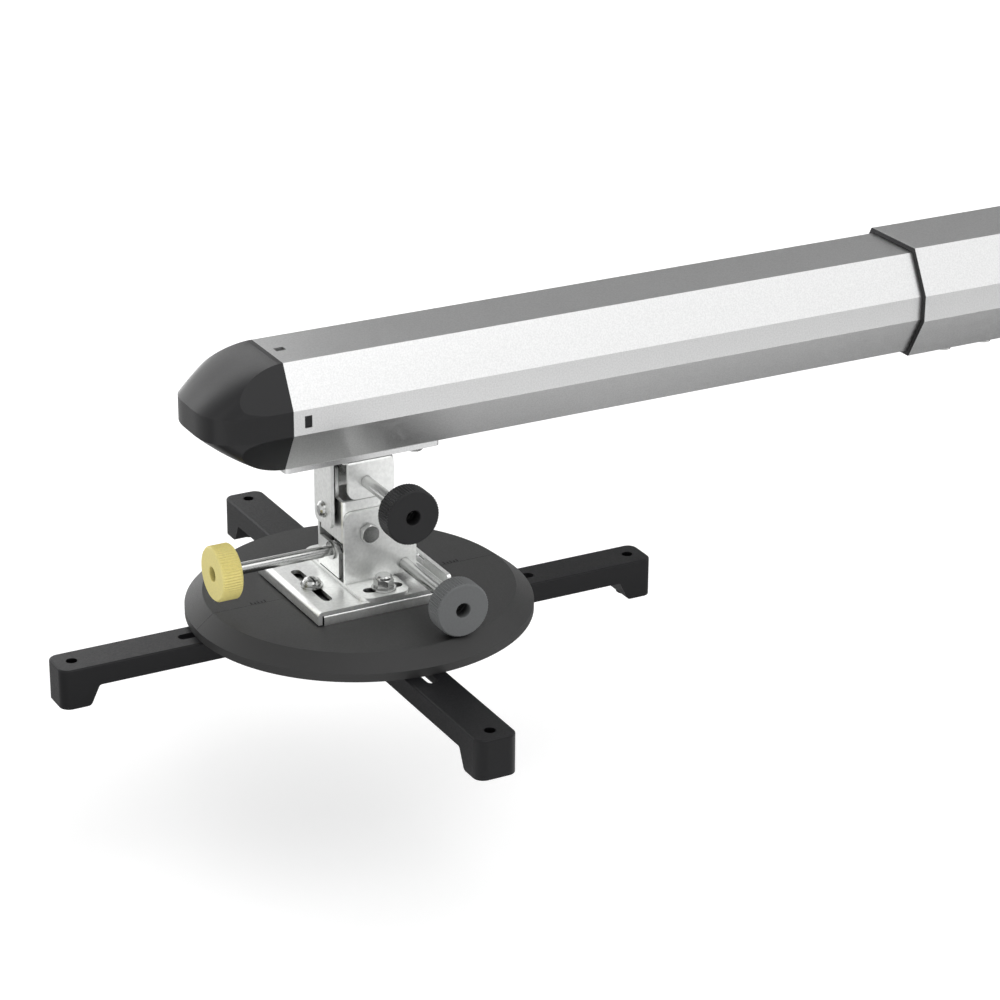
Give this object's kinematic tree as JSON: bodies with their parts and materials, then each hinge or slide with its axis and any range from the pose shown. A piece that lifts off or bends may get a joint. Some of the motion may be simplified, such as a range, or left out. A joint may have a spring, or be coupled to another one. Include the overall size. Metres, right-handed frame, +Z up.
{
  "type": "projector wall mount",
  "caption": "Telescopic wall arm with an end cap, a three-axis knob-adjusted joint block and a round cradle with four slotted legs for a projector.",
  "frame": {"origin": "centre of the wall plate's back face, where the arm's centre line meets the wall", "axes": "+Z up, +Y into the wall along the arm, +X to the side of the roll and yaw knobs"},
  "size_m": [0.367, 1.1852, 0.2417],
  "materials": {
    "silver_aluminium": "fine-grained satin anodising",
    "zinc_steel": "bright zinc plating with faint rolling marks",
    "painted_steel": "silver-gray powder coat",
    "black_plastic": "fine moulded grain",
    "disc_plastic": "fine moulded grain",
    "leg_plastic": "smooth satin black",
    "yellow_plastic": "pale yellow moulded plastic",
    "gray_plastic": "mid gray moulded plastic"
  },
  "bodies": {
    "wall": {"wall_plate": "painted_steel", "tube_fixing_screws": "zinc_steel", "outer_tube": "silver_aluminium", "guide_collar": "black_plastic", "arm_lock_nuts": "zinc_steel", "arm_lock_screws": "zinc_steel"},
    "arm": {"inner_tube": "silver_aluminium", "end_cap": "black_plastic", "hanger_strip": "silver_aluminium", "top_bracket": "zinc_steel", "hanger_bolts": "zinc_steel", "hanger_nuts": "zinc_steel", "roll_rivets": "zinc_steel", "roll_spacers": "zinc_steel"},
    "roll_link": {"middle_link": "zinc_steel"},
    "roll_adjuster": {"roll_screw": "zinc_steel", "roll_knob": "black_plastic", "roll_screw_clip": "zinc_steel"},
    "roll_cross_nut": {"roll_nut": "zinc_steel"},
    "pitch_head": {"lower_bracket": "zinc_steel", "pitch_pivot_bolt": "zinc_steel", "pitch_pivot_nut": "zinc_steel"},
    "pitch_adjuster": {"pitch_screw": "zinc_steel", "pitch_knob": "yellow_plastic", "pitch_screw_clips": "zinc_steel"},
    "pitch_cross_nut": {"pitch_nut": "zinc_steel"},
    "yaw_plate": {"slide_plate": "zinc_steel", "yaw_pivot": "zinc_steel", "yaw_studs": "zinc_steel", "yaw_washers": "zinc_steel", "yaw_lock_nuts": "zinc_steel", "clamp_bar": "zinc_steel", "guide_bar": "zinc_steel", "lock_screw": "zinc_steel", "lock_washer": "zinc_steel"},
    "yaw_adjuster": {"yaw_screw": "zinc_steel", "yaw_knob": "gray_plastic", "yaw_screw_clip": "zinc_steel"},
    "yaw_cross_nut": {"yaw_nut": "zinc_steel"},
    "cradle": {"quick_release_rail": "zinc_steel", "rail_rivets": "zinc_steel", "disc": "disc_plastic"},
    "clamp_right": {"clamp_bolt_right": "zinc_steel", "clamp_washer_right": "zinc_steel"},
    "leg_right": {"leg_right": "leg_plastic"},
    "clamp_rear": {"clamp_bolt_rear": "zinc_steel", "clamp_washer_rear": "zinc_steel"},
    "leg_rear": {"leg_rear": "leg_plastic"},
    "clamp_left": {"clamp_bolt_left": "zinc_steel", "clamp_washer_left": "zinc_steel"},
    "leg_left": {"leg_left": "leg_plastic"},
    "clamp_front": {"clamp_bolt_front": "zinc_steel", "clamp_washer_front": "zinc_steel"},
    "leg_front": {"leg_front": "leg_plastic"}
  },
  "joints": [
    {"name": "arm_slide", "type": "slide", "parent": "wall", "child": "arm", "axis": [0, -1, 0], "range_m": [-0.3, 0.06]},
    {"name": "roll_knob_turn", "type": "hinge", "parent": "arm", "child": "roll_adjuster", "pos_m": [0.0205, -1.0065, -0.0477], "axis": [1, 0, 0], "range_deg": [-760, 760]},
    {"name": "roll_hinge", "type": "hinge", "parent": "arm", "child": "roll_link", "pos_m": [0, -1.0065, -0.0687], "axis": [0, 1, 0], "range_deg": [-5.45, 5.45]},
    {"name": "roll_nut_travel", "type": "slide", "parent": "arm", "child": "roll_cross_nut", "axis": [1, 0, 0], "range_m": [-0.00212, 0.00212]},
    {"name": "pitch_hinge", "type": "hinge", "parent": "roll_link", "child": "pitch_head", "pos_m": [0, -1.0044, -0.08], "axis": [1, 0, 0], "range_deg": [-11.4, 11.4]},
    {"name": "pitch_knob_turn", "type": "hinge", "parent": "pitch_head", "child": "pitch_adjuster", "pos_m": [0, -1.019, -0.095], "axis": [0, 1, 0], "range_deg": [-1135, 1135]},
    {"name": "pitch_nut_travel", "type": "slide", "parent": "pitch_head", "child": "pitch_cross_nut", "axis": [0, 1, 0], "range_m": [-0.00315, 0.00315]},
    {"name": "yaw_hinge", "type": "hinge", "parent": "pitch_head", "child": "yaw_plate", "pos_m": [0, -1.0017, -0.112], "axis": [0, 0, 1], "range_deg": [-8.5, 8.5]},
    {"name": "yaw_knob_turn", "type": "hinge", "parent": "pitch_head", "child": "yaw_adjuster", "pos_m": [0.0175, -0.9816, -0.1038], "axis": [1, 0, 0], "range_deg": [-1135, 1135]},
    {"name": "yaw_nut_travel", "type": "slide", "parent": "pitch_head", "child": "yaw_cross_nut", "axis": [1, 0, 0], "range_m": [-0.0032, 0.0032]},
    {"name": "plate_slide", "type": "slide", "parent": "yaw_plate", "child": "cradle", "axis": [0, 1, 0], "range_m": [0, 0.06]},
    {"name": "leg_swing_right", "type": "hinge", "parent": "cradle", "child": "clamp_right", "pos_m": [0.072, -1.0092, -0.13325], "axis": [0, 0, 1], "range_deg": [-30, 30]},
    {"name": "leg_reach_right", "type": "slide", "parent": "clamp_right", "child": "leg_right", "axis": [1, 0, 0], "range_m": [-0.012, 0.016]},
    {"name": "leg_swing_rear", "type": "hinge", "parent": "cradle", "child": "clamp_rear", "pos_m": [0.0075, -0.9297, -0.13325], "axis": [0, 0, 1], "range_deg": [-30, 30]},
    {"name": "leg_reach_rear", "type": "slide", "parent": "clamp_rear", "child": "leg_rear", "axis": [0, 1, 0], "range_m": [-0.012, 0.016]},
    {"name": "leg_swing_left", "type": "hinge", "parent": "cradle", "child": "clamp_left", "pos_m": [-0.072, -0.9942, -0.13325], "axis": [0, 0, 1], "range_deg": [-30, 30]},
    {"name": "leg_reach_left", "type": "slide", "parent": "clamp_left", "child": "leg_left", "axis": [-1, 0, 0], "range_m": [-0.012, 0.016]},
    {"name": "leg_swing_front", "type": "hinge", "parent": "cradle", "child": "clamp_front", "pos_m": [-0.0075, -1.0737, -0.13325], "axis": [0, 0, 1], "range_deg": [-30, 30]},
    {"name": "leg_reach_front", "type": "slide", "parent": "clamp_front", "child": "leg_front", "axis": [0, -1, 0], "range_m": [-0.012, 0.016]}
  ],
  "couplings": [
    {"joint": "roll_knob_turn", "follows": "roll_hinge", "ratio": -131.95},
    {"joint": "roll_nut_travel", "follows": "roll_hinge", "m_per_rad": 0.021},
    {"joint": "pitch_knob_turn", "follows": "pitch_hinge", "ratio": 94.248},
    {"joint": "pitch_nut_travel", "follows": "pitch_hinge", "m_per_rad": -0.015},
    {"joint": "yaw_knob_turn", "follows": "yaw_hinge", "ratio": 126.29},
    {"joint": "yaw_nut_travel", "follows": "yaw_hinge", "m_per_rad": -0.0201}
  ]
}
